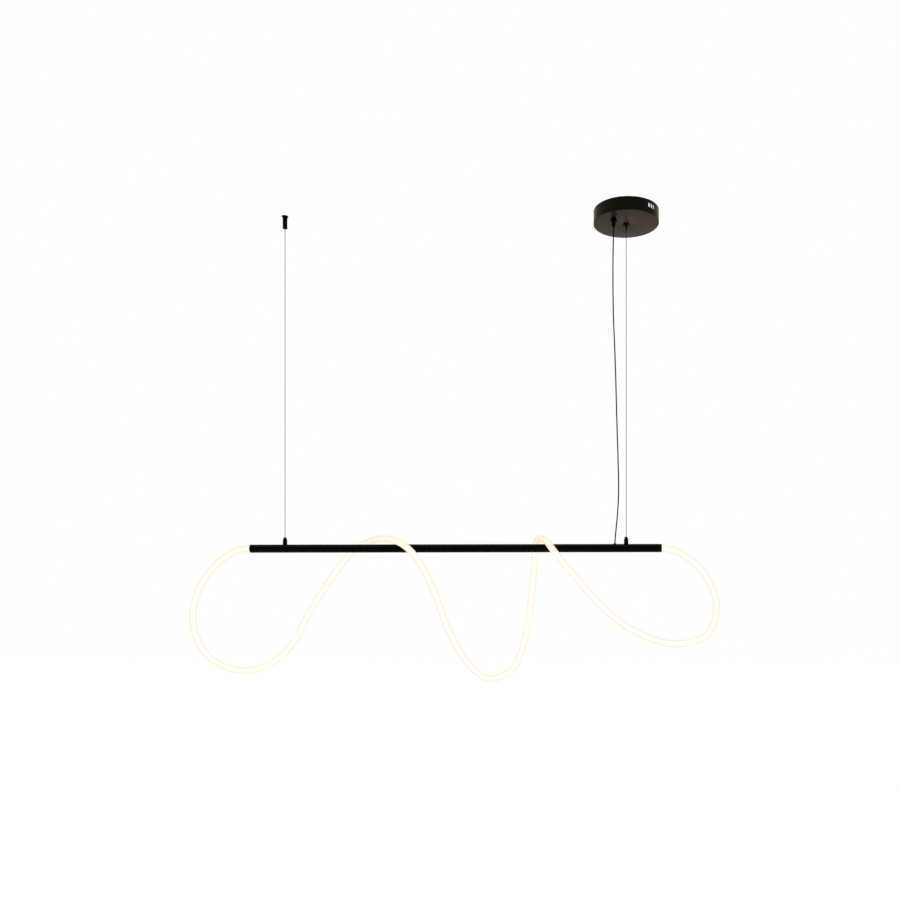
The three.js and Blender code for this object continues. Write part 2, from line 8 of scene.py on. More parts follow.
import bmesh
import bpy
from mathutils import Matrix, Vector


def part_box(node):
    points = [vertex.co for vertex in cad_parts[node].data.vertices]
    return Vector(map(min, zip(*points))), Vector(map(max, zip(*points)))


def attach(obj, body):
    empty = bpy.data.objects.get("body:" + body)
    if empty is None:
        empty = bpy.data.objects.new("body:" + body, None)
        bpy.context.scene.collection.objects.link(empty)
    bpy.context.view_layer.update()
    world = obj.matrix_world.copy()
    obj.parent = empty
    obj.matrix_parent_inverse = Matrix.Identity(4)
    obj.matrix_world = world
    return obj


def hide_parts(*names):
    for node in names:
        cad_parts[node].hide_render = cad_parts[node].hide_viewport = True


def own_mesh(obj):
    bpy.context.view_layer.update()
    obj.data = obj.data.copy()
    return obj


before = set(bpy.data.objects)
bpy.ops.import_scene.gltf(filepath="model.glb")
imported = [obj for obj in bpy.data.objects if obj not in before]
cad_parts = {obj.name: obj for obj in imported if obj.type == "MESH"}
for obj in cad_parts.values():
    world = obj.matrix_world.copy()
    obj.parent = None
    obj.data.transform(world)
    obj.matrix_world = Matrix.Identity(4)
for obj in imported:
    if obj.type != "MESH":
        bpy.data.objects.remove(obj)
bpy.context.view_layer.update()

MM = 0.001


# ---- Places and sizes from the frame ----

def box_middle(node):
    low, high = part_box(node)
    return (low + high) / 2


bar_low, bar_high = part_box("bar_tube")
BAR_MIDDLE = box_middle("bar_tube")
BAR_Z = BAR_MIDDLE.z
BAR_RADIUS_MM = (bar_high.z - bar_low.z) / 2 / MM
BAR_TOP = bar_high.z
LEFT_X = box_middle("left_wire").x
RIGHT_X = box_middle("right_wire").x
GLAND = box_middle("cable_gland_body")
GROMMET = box_middle("cable_grommet")


# ---- Camera ----

LENS_MM = 33.2
SENSOR_MM = 36
CAMERA_DISTANCE = 2.0095
CAMERA_YAW = math.radians(1.83)
CAMERA_BELOW_BAR = 0.0996
CAMERA_TO_RIGHT = 0.2803  # of the bar's middle
CAMERA_SHIFT_X = -0.1336
CAMERA_SHIFT_Y = 0.155


def make_camera():
    data = bpy.data.cameras.new("camera")
    data.sensor_width = SENSOR_MM
    data.lens = LENS_MM
    data.shift_x = CAMERA_SHIFT_X
    data.shift_y = CAMERA_SHIFT_Y
    camera = bpy.data.objects.new("camera", data)
    forward = Vector((-math.sin(CAMERA_YAW), math.cos(CAMERA_YAW), 0))
    right = Vector((math.cos(CAMERA_YAW), math.sin(CAMERA_YAW), 0))
    camera.location = BAR_MIDDLE - forward * CAMERA_DISTANCE + right * CAMERA_TO_RIGHT
    camera.location.z = BAR_Z - CAMERA_BELOW_BAR
    camera.rotation_euler = (math.pi / 2, 0, CAMERA_YAW)
    bpy.context.scene.collection.objects.link(camera)
    bpy.context.scene.camera = camera


make_camera()


# ---- Mesh tools ----

SHARP_DEGREES = 35  # a corner at least this sharp isn't shaded smooth


def new_object(name, bm, sharp_from=SHARP_DEGREES):
    bmesh.ops.recalc_face_normals(bm, faces=bm.faces)
    mesh = bpy.data.meshes.new(name)
    bm.to_mesh(mesh)
    bm.free()
    obj = bpy.data.objects.new(name, mesh)
    bpy.context.scene.collection.objects.link(obj)
    for face in mesh.polygons:
        face.use_smooth = True
    mesh.set_sharp_from_angle(angle=math.radians(sharp_from))
    return obj


def rounded(corners, steps=5):
    """An outline of (radius, height) with each corner that has a third number rounded by it."""
    points = []
    for i, corner in enumerate(corners):
        here = Vector(corner[:2])
        size = corner[2] if len(corner) > 2 else 0
        if size == 0:
            points.append(here)
            continue
        before = Vector(corners[i - 1][:2])
        after = Vector(corners[(i + 1) % len(corners)][:2])
        start = here + (before - here).normalized() * size
        end = here + (after - here).normalized() * size
        for k in range(steps + 1):
            t = k / steps
            points.append((1 - t) ** 2 * start + 2 * t * (1 - t) * here + t * t * end)
    return points


def turned_bmesh(corners, segments=96, along="z", place=(0, 0, 0), knurl=None):
    """A closed outline of (radius, height, rounding) in millimetres, turned round Z or X at place.

    knurl is (lowest, highest, depth): between these heights every other segment is that much lower.
    """
    bm = bmesh.new()
    outer = max(corner[0] for corner in corners)
    rings = []
    for radius, height in rounded(corners):
        if radius < 1e-6:
            rings.append([bm.verts.new((0, 0, height * MM))])
            continue
        ring = []
        for k in range(segments):
            angle = 2 * math.pi * k / segments
            r = radius
            if knurl and knurl[0] <= height <= knurl[1] and radius > outer - 0.3:
                r -= knurl[2] * (k % 4 < 2)
            ring.append(bm.verts.new((r * MM * math.cos(angle), r * MM * math.sin(angle), height * MM)))
        rings.append(ring)
    for one, two in zip(rings, rings[1:] + rings[:1]):
        if len(one) == len(two) == 1:
            continue
        for k in range(segments):
            corners_of_face = [
                one[k % len(one)],
                one[(k + 1) % len(one)],
                two[(k + 1) % len(two)],
                two[k % len(two)],
            ]
            bm.faces.new(list(dict.fromkeys(corners_of_face)))
    if along == "x":
        bmesh.ops.rotate(bm, verts=bm.verts, matrix=Matrix.Rotation(math.pi / 2, 3, "Y"))
    bmesh.ops.translate(bm, verts=bm.verts, vec=place)
    return bm


def turned(name, corners, **options):
    return new_object(name, turned_bmesh(corners, **options))


def rod(name, radius, low, high, segments=64, **options):
    """A plain cutter. Lengths are in millimetres."""
    return turned(name, [(0, low), (radius, low), (radius, high), (0, high)], segments=segments, **options)


def combine(obj, operation, *tools):
    """Cuts or adds the tools to obj, and removes them."""
    for tool in tools:
        modifier = obj.modifiers.new("combine", "BOOLEAN")
        modifier.operation = operation
        modifier.object = tool
        modifier.solver = "EXACT"
    bpy.context.view_layer.update()
    mesh = bpy.data.meshes.new_from_object(obj.evaluated_get(bpy.context.evaluated_depsgraph_get()))
    obj.modifiers.clear()
    obj.data = mesh
    mesh.name = obj.name
    for tool in tools:
        bpy.data.objects.remove(tool)
    for face in mesh.polygons:
        face.use_smooth = True
    mesh.set_sharp_from_angle(angle=math.radians(SHARP_DEGREES))
    return obj


def smooth_route(points, per_span):
    """Points along the centripetal Catmull-Rom curve through the given ones."""
    known = [Vector(p) for p in points]
    known = [2 * known[0] - known[1], *known, 2 * known[-1] - known[-2]]
    route = []
    for p0, p1, p2, p3 in zip(known, known[1:], known[2:], known[3:]):
        t0 = 0
        t1 = t0 + math.sqrt((p1 - p0).length)
        t2 = t1 + math.sqrt((p2 - p1).length)
        t3 = t2 + math.sqrt((p3 - p2).length)
        for k in range(per_span):
            t = t1 + (t2 - t1) * k / per_span
            a1 = p0.lerp(p1, (t - t0) / (t1 - t0))
            a2 = p1.lerp(p2, (t - t1) / (t2 - t1))
            a3 = p2.lerp(p3, (t - t2) / (t3 - t2))
            b1 = a1.lerp(a2, (t - t0) / (t2 - t0))
            b2 = a2.lerp(a3, (t - t1) / (t3 - t1))
            route.append(b1.lerp(b2, (t - t1) / (t2 - t1)))
    route.append(known[-2])
    return route


def spaced(route, step):
    """The same line with points at equal distances close to step."""
    lengths = [0.0]
    for a, b in zip(route, route[1:]):
        lengths.append(lengths[-1] + (b - a).length)
    count = max(2, round(lengths[-1] / step))
    points = []
    i = 0
    for k in range(count + 1):
        target = lengths[-1] * k / count
        while i < len(route) - 2 and lengths[i + 1] < target:
            i += 1
        share = (target - lengths[i]) / (lengths[i + 1] - lengths[i])
        points.append(route[i].lerp(route[i + 1], share))
    return points


def swept(name, path, outline, twist=0.0, inner=None):
    """A tube along path. outline lists the radii round it, twist is in radians per metre, inner is a bore."""
    sides = len(outline)
    bm = bmesh.new()
    side = None
    rings = []
    bores = []
    distance = 0.0
    for i, point in enumerate(path):
        ahead = (path[min(i + 1, len(path) - 1)] - path[max(i - 1, 0)]).normalized()
        if side is None:
            side = ahead.orthogonal()
        side = (side - ahead * side.dot(ahead)).normalized()
        other = ahead.cross(side)
        if i:
            distance += (point - path[i - 1]).length
        ring = []
        bore = []
        for k, radius in enumerate(outline):
            angle = 2 * math.pi * k / sides + twist * distance
            out = side * math.cos(angle) + other * math.sin(angle)
            ring.append(bm.verts.new(point + out * radius))
            if inner:
                bore.append(bm.verts.new(point + out * inner))
        rings.append(ring)
        bores.append(bore)
    for surface in (rings, bores):
        for one, two in zip(surface, surface[1:]):
            for k in range(len(one)):
                j = (k + 1) % len(one)
                bm.faces.new((one[k], one[j], two[j], two[k]))
    for end in (0, -1):
        if not inner:
            bm.faces.new(rings[end])
            continue
        for k in range(sides):
            j = (k + 1) % sides
            bm.faces.new((rings[end][k], rings[end][j], bores[end][j], bores[end][k]))
    return new_object(name, bm, sharp_from=60)


# ---- Material tools ----

def new_material(name):
    material = bpy.data.materials.new(name)
    material.use_nodes = True
    return material, material.node_tree, material.node_tree.nodes["Principled BSDF"]


def add_node(tree, kind, inputs=(), **settings):
    node = tree.nodes.new(kind)
    for key, value in settings.items():
        setattr(node, key, value)
    for key, value in dict(inputs).items():
        if isinstance(value, bpy.types.NodeSocket):
            tree.links.new(value, node.inputs[key])
        else:
            node.inputs[key].default_value = value
    return node


def object_place(tree, stretch=(1, 1, 1)):
    """Where a point lies on its piece, in metres, with each axis scaled by stretch."""
    coordinates = add_node(tree, "ShaderNodeTexCoord")
    mapping = add_node(tree, "ShaderNodeMapping", {"Vector": coordinates.outputs["Object"], "Scale": stretch})
    return mapping.outputs["Vector"]


def noise(tree, place, scale, detail=3.0, roughness=0.55):
    inputs = {"Vector": place, "Scale": scale, "Detail": detail, "Roughness": roughness}
    return add_node(tree, "ShaderNodeTexNoise", inputs).outputs["Fac"]


def spread(tree, value, low, high, value_low=0.3, value_high=0.7):
    """value from its usual range to the range low to high."""
    inputs = {"Value": value, "From Min": value_low, "From Max": value_high, "To Min": low, "To Max": high}
    return add_node(tree, "ShaderNodeMapRange", inputs).outputs["Result"]


def ramp(tree, value, *stops):
    """value to colour. Each stop is (position, (red, green, blue))."""
    node = add_node(tree, "ShaderNodeValToRGB", {"Fac": value})
    elements = node.color_ramp.elements
    while len(elements) < len(stops):
        elements.new(0.5)
    for element, (position, colour) in zip(elements, stops):
        element.position = position
        element.color = (*colour, 1)
    return node.outputs["Color"]


def bump(tree, height, distance, strength=1.0, under=None):
    inputs = {"Height": height, "Distance": distance, "Strength": strength}
    if under:
        inputs["Normal"] = under
    return add_node(tree, "ShaderNodeBump", inputs).outputs["Normal"]


def times(colour, factor):
    return tuple(c * factor for c in colour)


def plain_finish(name, colour, roughness, metallic=0.0, specular=0.5, variation=0.15,
                 mottle=45, grain=1800, grain_height=0.03, stretch=(1, 1, 1), rough_spread=0.06):
    """A finish whose colour drifts a little, with fine grain. grain_height is in millimetres."""
    material, tree, shader = new_material(name)
    shader.inputs["Metallic"].default_value = metallic
    shader.inputs["Specular IOR Level"].default_value = specular
    place = object_place(tree, stretch)
    clouds = noise(tree, place, mottle)
    fine = noise(tree, place, grain, detail=2.0)
    colours = ramp(
        tree,
        clouds,
        (0.3, times(colour, 1 - variation)),
        (0.52, colour),
        (0.75, times(colour, 1 + variation)),
    )
    tree.links.new(colours, shader.inputs["Base Color"])
    low = max(roughness - rough_spread, 0.05)
    tree.links.new(spread(tree, clouds, low, roughness + rough_spread), shader.inputs["Roughness"])
    tree.links.new(bump(tree, fine, grain_height * MM), shader.inputs["Normal"])
    return material


def powder_coat(name, colour, roughness, specular, warm_glow_sheen=0.0):
    """Satin baked paint: fine orange peel, a slow drift of gloss, sparse specks, and a sheen tinted warm as
    painted light from the glowing tube.
    """
    material, tree, shader = new_material(name)
    shader.inputs["Specular IOR Level"].default_value = specular
    shader.inputs["Sheen Weight"].default_value = warm_glow_sheen
    shader.inputs["Sheen Roughness"].default_value = 0.35
    # Painted light: the warm sheen tint stands in for the tube's warm glow falling on the paint.
    shader.inputs["Sheen Tint"].default_value = (1.0, 0.62, 0.30, 1)
    place = object_place(tree)
    drift = noise(tree, place, 22)
    peel = noise(tree, place, 1100, detail=2.0)
    fine = noise(tree, place, 5200, detail=1.0)
    base = ramp(tree, drift, (0.3, times(colour, 0.82)), (0.7, times(colour, 1.2)))
    cells = add_node(tree, "ShaderNodeTexVoronoi", {"Vector": place, "Scale": 900.0})
    speck = ramp(tree, cells.outputs["Distance"], (0.05, (1, 1, 1)), (0.12, (0, 0, 0)))
    mix = add_node(tree, "ShaderNodeMix", {"Factor": speck}, data_type="RGBA", blend_type="MIX")
    tree.links.new(base, mix.inputs["A"])
    mix.inputs["B"].default_value = (*times(colour, 2.4), 1)
    tree.links.new(mix.outputs["Result"], shader.inputs["Base Color"])
    gloss = spread(tree, drift, roughness - 0.05, roughness + 0.07)
    tree.links.new(gloss, shader.inputs["Roughness"])
    coarse = bump(tree, peel, 0.035 * MM, 0.7)
    tree.links.new(bump(tree, fine, 0.012 * MM, 0.6, under=coarse), shader.inputs["Normal"])
    return material


def brushed_metal(name, colour, roughness, stretch, lines=700):
    """Drawn or turned metal: fine lines along one axis over a slow change of tone."""
    material, tree, shader = new_material(name)
    shader.inputs["Metallic"].default_value = 1.0
    strokes = noise(tree, object_place(tree, stretch), lines, detail=4.0, roughness=0.7)
    clouds = noise(tree, object_place(tree), 90)
    tone = ramp(tree, strokes, (0.3, times(colour, 0.72)), (0.7, times(colour, 1.1)))
    tree.links.new(tone, shader.inputs["Base Color"])
    tree.links.new(spread(tree, clouds, roughness - 0.07, roughness + 0.1), shader.inputs["Roughness"])
    tree.links.new(bump(tree, strokes, 0.012 * MM), shader.inputs["Normal"])
    return material


def zinc_plate(name):
    """Passivated zinc: pale cells with a faint yellow and blue cast."""
    material, tree, shader = new_material(name)
    shader.inputs["Metallic"].default_value = 1.0
    place = object_place(tree)
    cells = add_node(tree, "ShaderNodeTexVoronoi", {"Vector": place, "Scale": 260.0})
    clouds = noise(tree, place, 70)
    cast = ramp(tree, clouds, (0.3, (0.50, 0.54, 0.60)), (0.5, (0.60, 0.61, 0.60)), (0.7, (0.64, 0.60, 0.50)))
    shade = add_node(tree, "ShaderNodeMix", {"Factor": 0.25}, data_type="RGBA", blend_type="MULTIPLY")
    tree.links.new(cast, shade.inputs["A"])
    tree.links.new(cells.outputs["Color"], shade.inputs["B"])
    tree.links.new(shade.outputs["Result"], shader.inputs["Base Color"])
    tree.links.new(spread(tree, clouds, 0.32, 0.5), shader.inputs["Roughness"])
    tree.links.new(bump(tree, noise(tree, place, 1500), 0.015 * MM), shader.inputs["Normal"])
    return material


WAVE_FACTOR = 20  # the wave texture's own multiple of its scale


def banded(name, colours, width_mm, axis, roughness):
    """Bands of colour across one axis, such as wound tape or printed copper."""
    material, tree, shader = new_material(name)
    shader.inputs["Roughness"].default_value = roughness
    place = object_place(tree)
    scale = 1 / (width_mm * MM) / WAVE_FACTOR
    inputs = {"Vector": place, "Scale": scale, "Distortion": 0.4, "Detail": 1.0}
    wave = add_node(tree, "ShaderNodeTexWave", inputs, bands_direction=axis).outputs["Fac"]
    one, two = colours
    tree.links.new(ramp(tree, wave, (0.35, one), (0.6, two)), shader.inputs["Base Color"])
    tree.links.new(bump(tree, wave, 0.05 * MM), shader.inputs["Normal"])
    return material


def circuit_board_finish():
    """Green solder mask with copper tracks and pads under it."""
    material, tree, shader = new_material("circuit_board")
    shader.inputs["Roughness"].default_value = 0.35
    place = object_place(tree)
    tracks = add_node(
        tree,
        "ShaderNodeTexBrick",
        {"Vector": place, "Scale": 120.0, "Mortar Size": 0.06, "Color1": (0.012, 0.11, 0.035, 1),
         "Color2": (0.02, 0.16, 0.05, 1), "Mortar": (0.10, 0.24, 0.06, 1)},
    )
    tree.links.new(tracks.outputs["Color"], shader.inputs["Base Color"])
    tree.links.new(bump(tree, tracks.outputs["Fac"], 0.03 * MM), shader.inputs["Normal"])
    return material


def glowing_silicone():
    """Milky silicone lit from inside: nearly white in the middle, with painted shade that turns it creamy and
    darker towards its edges.
    """
    material, tree, shader = new_material("glowing_silicone")
    shader.inputs["Base Color"].default_value = (0.02, 0.018, 0.014, 1)
    shader.inputs["Specular IOR Level"].default_value = 0.05
    shader.inputs["Emission Strength"].default_value = 1.0
    place = object_place(tree)
    drift = noise(tree, place, 9)
    facing = add_node(tree, "ShaderNodeLayerWeight", {"Blend": 0.5}).outputs["Facing"]
    body = ramp(tree, drift, (0.3, (1.02, 0.99, 0.93)), (0.7, (1.06, 1.03, 0.98)))
    # Painted shade: the glow dims and warms as the surface turns away from the view, towards the tube's
    # outline.
    painted_rim_shade = ramp(
        tree,
        facing,
        (0.08, (1.0, 1.0, 1.0)),
        (0.34, (0.99, 0.90, 0.76)),
        (0.60, (0.97, 0.80, 0.56)),
        (0.92, (0.94, 0.70, 0.42)),
    )
    mix = add_node(tree, "ShaderNodeMix", {"Factor": 1.0}, data_type="RGBA", blend_type="MULTIPLY")
    tree.links.new(body, mix.inputs["A"])
    tree.links.new(painted_rim_shade, mix.inputs["B"])
    tree.links.new(mix.outputs["Result"], shader.inputs["Emission Color"])
    tree.links.new(spread(tree, drift, 0.42, 0.58), shader.inputs["Roughness"])
    tree.links.new(bump(tree, noise(tree, place, 700), 0.02 * MM), shader.inputs["Normal"])
    return material


BLACK_METAL = powder_coat("black_metal", (0.0010, 0.0009, 0.0006), 0.30, 0.03)
# Dark satin paint lifted and warmed: partly the paint's own tone, partly painted warm light from the glowing
# tube; its warm sheen is painted light too.
CANOPY_METAL = powder_coat("canopy_metal", (0.0075, 0.0060, 0.0036), 0.28, 0.035, warm_glow_sheen=0.26)
BLACK_PLASTIC = plain_finish("black_plastic", (0.0014, 0.0014, 0.0013), 0.42, specular=0.04)
BLACK_CABLE = plain_finish("black_cable", (0.0008, 0.0008, 0.0008), 0.5, specular=0.01, grain=900,
                           stretch=(1, 1, 0.2))
CAPACITOR_SLEEVE = plain_finish("capacitor_sleeve", (0.008, 0.012, 0.02), 0.35, mottle=200)
STEEL = brushed_metal("steel", (0.035, 0.035, 0.036), 0.34, (1, 1, 0.25), 1600)
ZINC_STEEL = zinc_plate("zinc_steel")
BRASS = brushed_metal("brass", (0.62, 0.45, 0.18), 0.28, (0.25, 0.25, 1))
GLOWING_SILICONE = glowing_silicone()
LED_BOARD = banded("led_board", ((0.86, 0.84, 0.74), (0.75, 0.66, 0.30)), 8, "X", 0.45)
DRIVER_PLASTIC = plain_finish("driver_plastic", (0.74, 0.74, 0.71), 0.5, variation=0.05, grain_height=0.05)
CIRCUIT_BOARD = circuit_board_finish()
TRANSFORMER_TAPE = banded("transformer_tape", ((0.72, 0.52, 0.08), (0.55, 0.38, 0.05)), 2, "Z", 0.4)
TERMINAL_PLASTIC = plain_finish("terminal_plastic", (0.78, 0.75, 0.66), 0.42, variation=0.06)
BROWN_LEAD = plain_finish("brown_lead", (0.15, 0.055, 0.022), 0.42, variation=0.12)
BLUE_LEAD = plain_finish("blue_lead", (0.025, 0.08, 0.33), 0.42, variation=0.12)


def finish_piece(obj, body, material, slot, *nodes):
    """Gives a new piece its material and its body, and hides the CAD nodes that it stands for. slot is not
    used.
    """
    obj.data.materials.clear()
    obj.data.materials.append(material)
    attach(obj, body)
    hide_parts(*nodes)
    return obj


# ---- Light tube, wires and power cable ----

# Middle line of the light tube, from the middle of the bar, as in the CAD source.
LIGHT_TUBE_ROUTE = [
    (-0.477, 0, 0),
    (-0.502, 0, 0),
    (-0.545, 0.006, -0.008),
    (-0.600, 0.014, -0.047),
    (-0.644, 0.024, -0.110),
    (-0.658, 0.031, -0.186),
    (-0.624, 0.037, -0.264),
    (-0.552, 0.042, -0.300),
    (-0.477, 0.045, -0.289),
    (-0.414, 0.045, -0.236),
    (-0.369, 0.045, -0.155),
    (-0.267, 0.033, -0.013),
    (-0.231, 0.023, 0.011),
    (-0.207, 0.013, 0.019),
    (-0.185, 0, 0.023),
    (-0.152, -0.014, 0.021),
    (-0.118, -0.025, 0.007),
    (-0.078, -0.035, -0.034),
    (-0.038, -0.041, -0.114),
    (-0.008, -0.039, -0.195),
    (0.034, -0.026, -0.272),
    (0.083, -0.001, -0.315),
    (0.138, 0.023, -0.294),
    (0.166, 0.038, -0.228),
    (0.181, 0.043, -0.141),
    (0.193, 0.037, -0.009),
    (0.196, 0.021, 0.014),
    (0.207, 0.001, 0.023),
    (0.223, -0.019, 0.017),
    (0.244, -0.037, -0.010),
    (0.293, -0.042, -0.069),
    (0.363, -0.049, -0.146),
    (0.446, -0.051, -0.204),
    (0.532, -0.046, -0.227),
    (0.607, -0.036, -0.203),
    (0.627, -0.026, -0.134),
    (0.599, -0.014, -0.061),
    (0.546, -0.004, -0.014),
    (0.502, 0, 0),
    (0.477, 0, 0),
]
LIGHT_TUBE_RADIUS = 0.008
LIGHT_TUBE_BORE = 0.006

# Free stretch of the power cable, from inside the gland's boot to inside the bar.
POWER_CABLE_ROUTE = [
    (-0.031, -0.039, -0.046),
    (-0.031, -0.039, -0.062),
    (-0.0318, -0.039, -0.095),
    (-0.0325, -0.038, -0.145),
    (-0.0323, -0.036, -0.205),
    (-0.031, -0.033, -0.270),
    (-0.028, -0.0295, -0.340),
    (-0.0256, -0.0255, -0.410),
    (-0.0236, -0.021, -0.480),
    (-0.0216, -0.0165, -0.545),
    (-0.0196, -0.012, -0.605),
    (-0.0184, -0.008, -0.655),
    (-0.0189, -0.0046, -0.695),
    (-0.021, -0.0022, -0.730),
    (-0.024, -0.0007, -0.762),
    (-0.0263, 0, -0.786),
    (-0.027, 0, -0.799),
    (-0.027, 0, -0.806),
]
CABLE_RADIUS = 0.0015
WIRE_RADIUS = 0.00075
ROPE_STRANDS = 6
ROPE_LAY = 0.012  # length of one turn of a strand


def follow_height(obj):
    """Gives the piece a mesh of its own."""
    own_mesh(obj)


def light_tube():
    route = [BAR_MIDDLE + Vector(p) for p in LIGHT_TUBE_ROUTE]
    path = spaced(smooth_route(route, 24), 0.006)
    obj = swept("light_tube_skin", path, [LIGHT_TUBE_RADIUS] * 32, inner=LIGHT_TUBE_BORE)
    finish_piece(obj, "lamp_bar", GLOWING_SILICONE, "glowing_silicone", "light_tube")


def power_cable():
    path = spaced(smooth_route(POWER_CABLE_ROUTE, 24), 0.004)
    obj = swept("power_cable_jacket", path, [CABLE_RADIUS] * 24)
    finish_piece(obj, "right_hanger", BLACK_CABLE, "black_cable", "power_cable")
    follow_height(obj)


def rope_outline():
    """Radii round a rope of six strands laid on a core."""
    per_strand = 4
    count = ROPE_STRANDS * per_strand
    return [
        WIRE_RADIUS * (0.90 + 0.10 * abs(math.cos(math.pi * k / per_strand)))
        for k in range(count)
    ]


def wire(side, x):
    low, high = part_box(side + "_wire")
    path = spaced([Vector((x, 0, high.z)), Vector((x, 0, low.z))], 0.001)
    obj = swept(side + "_wire_rope", path, rope_outline(), twist=2 * math.pi / ROPE_LAY)
    finish_piece(obj, side + "_hanger", STEEL, "steel", side + "_wire")
    follow_height(obj)


light_tube()
power_cable()
wire("left", LEFT_X)
wire("right", RIGHT_X)


# ---- Ceiling canopy ----

CANOPY_RADIUS = 78.5
CANOPY_WALL = 1.2
CANOPY_FACE = -31
CANOPY_BORE = 5.3
VENT_ANGLES = (41, 46.75, 52.5)  # degrees from the front towards the right
VENT_WIDTH = 4.6
VENT_LOW = -17.5
VENT_HIGH = -7.5
VENT_END_STEPS = 16


def vent_cutter(angle):
    """A slot with round ends that goes through the canopy's side."""
    radius = VENT_WIDTH / 2
    bm = bmesh.new()
    outline = []
    for start, middle in ((0, VENT_HIGH - radius), (1, VENT_LOW + radius)):
        for k in range(VENT_END_STEPS + 1):
            a = math.pi * (start + k / VENT_END_STEPS)
            outline.append((radius * math.cos(a), middle + radius * math.sin(a)))
    depths = (-CANOPY_RADIUS - 5.5, -CANOPY_RADIUS + 5.5)
    loops = [[bm.verts.new((x * MM, y * MM, z * MM)) for x, z in outline] for y in depths]
    for k in range(len(outline)):
        j = (k + 1) % len(outline)
        bm.faces.new((loops[0][k], loops[0][j], loops[1][j], loops[1][k]))
    for loop in loops:
        bm.faces.new(loop)
    bmesh.ops.rotate(bm, verts=bm.verts, matrix=Matrix.Rotation(math.radians(angle), 3, "Z"))
    return new_object("vent_cutter", bm)


def canopy():
    inner = CANOPY_RADIUS - CANOPY_WALL
    shell = turned(
        "ceiling_canopy",
        [
            (CANOPY_BORE, CANOPY_FACE, 0.15),
            (CANOPY_RADIUS, CANOPY_FACE, 1.1),
            (CANOPY_RADIUS, 0, 0.3),
            (inner, 0, 0.3),
            (inner, CANOPY_FACE + CANOPY_WALL, 0.8),
            (CANOPY_BORE, CANOPY_FACE + CANOPY_WALL, 0.15),
        ],
        segments=240,
    )
    cutters = [vent_cutter(half + angle) for half in (0, 180) for angle in VENT_ANGLES]
    cutters.append(rod("gland_hole", 4.3, -35, -25, place=(GLAND.x, GLAND.y, 0)))
    combine(shell, "DIFFERENCE", *cutters)
    finish_piece(shell, "ceiling_mount", CANOPY_METAL, "canopy_metal", "canopy_shell")

    nut = turned(
        "canopy_nut",
        [(CANOPY_BORE, -34.7, 0.2), (7.4, -34.7, 0.5), (7.4, -31.3, 0.3), (CANOPY_BORE, -31.3, 0.2)],
        knurl=(-34.1, -31.6, 0.22),
    )
    finish_piece(nut, "ceiling_mount", BLACK_METAL, "black_metal", "canopy_retaining_nut")


def cable_gland():
    place = (GLAND.x, GLAND.y, 0)
    body = turned(
        "gland_body",
        [
            (2, -41.8, 0.3),
            (8, -41.8, 1.0),
            (8, -36.6, 0.4),
            (7.2, -35.8, 0.2),
            (5.2, -35.8, 0.2),
            (5.2, -31.3, 0.3),
            (4, -31.3),
            (4, -24.8, 0.4),
            (2, -24.8, 0.2),
        ],
        place=place,
        knurl=(-41.2, -36.9, 0.3),
    )
    finish_piece(body, "ceiling_mount", BLACK_PLASTIC, "black_plastic", "cable_gland_body")
    outline = [(1.8, -54, 0.1), (2.8, -54, 0.5), (4.6, -52, 0.6)]
    for z in (-50.4, -48.4, -46.4, -44.4):
        outline += [(4.95, z - 0.3, 0.15), (4.55, z, 0.15), (4.55, z + 0.6, 0.15), (4.95, z + 0.9, 0.15)]
    outline += [(5, -42.1, 0.3), (1.8, -42.1, 0.1)]
    boot = turned("gland_boot", outline, place=place, segments=64)
    finish_piece(boot, "ceiling_mount", BLACK_PLASTIC, "black_plastic", "cable_gland_boot")


canopy()
cable_gland()


# ---- Left ceiling anchor ----

def left_anchor():
    place = (LEFT_X, 0, 0)
    base = turned(
        "anchor_base",
        [(1.9, -9, 0.2), (4, -9, 0.4), (4, -2.6, 0.3), (7.75, -2.6, 0.8), (7.75, 0, 0.8), (1.9, 0, 0.2)],
        place=place,
        segments=72,
    )
    finish_piece(base, "ceiling_mount", BLACK_METAL, "black_metal", "left_anchor_base")
    cap = turned(
        "anchor_cap",
        [
            (2.7, -29, 0.2),
            (2.8, -30, 0.2),
            (5.75, -30, 0.6),
            (5.75, -27.6, 0.2),
            (5.45, -27.3, 0.1),
            (5.45, -2.9, 0.4),
            (4.3, -2.9, 0.2),
            (4.3, -27.5, 0.2),
        ],
        place=place,
        segments=72,
    )
    finish_piece(cap, "ceiling_mount", BLACK_METAL, "black_metal", "left_anchor_cap")


def ferrule(side, x, neck_bottom):
    grooves = []
    for z in (neck_bottom + 3, neck_bottom + 5.5):
        if z < -27:
            grooves += [(1.75, z - 0.6, 0.1), (1.6, z - 0.2, 0.1), (1.6, z + 0.2, 0.1), (1.75, z + 0.6, 0.1)]
    sleeve = turned(
        side + "_crimp_sleeve",
        [
            (1.05, neck_bottom, 0.1),
            (1.55, neck_bottom, 0.2),
            (1.75, neck_bottom + 0.5, 0.2),
            *grooves,
            (1.75, -22.9, 0.1),
            (3, -22.9, 0.3),
            (3, -21, 0.4),
            (1.05, -21, 0.2),
        ],
        place=(x, 0, 0),
        segments=48,
    )
    finish_piece(sleeve, side + "_hanger", BLACK_METAL, "black_metal", side + "_wire_ferrule")


left_anchor()
ferrule("left", LEFT_X, -29)
ferrule("right", RIGHT_X, -48)


# ---- Wire grippers ----

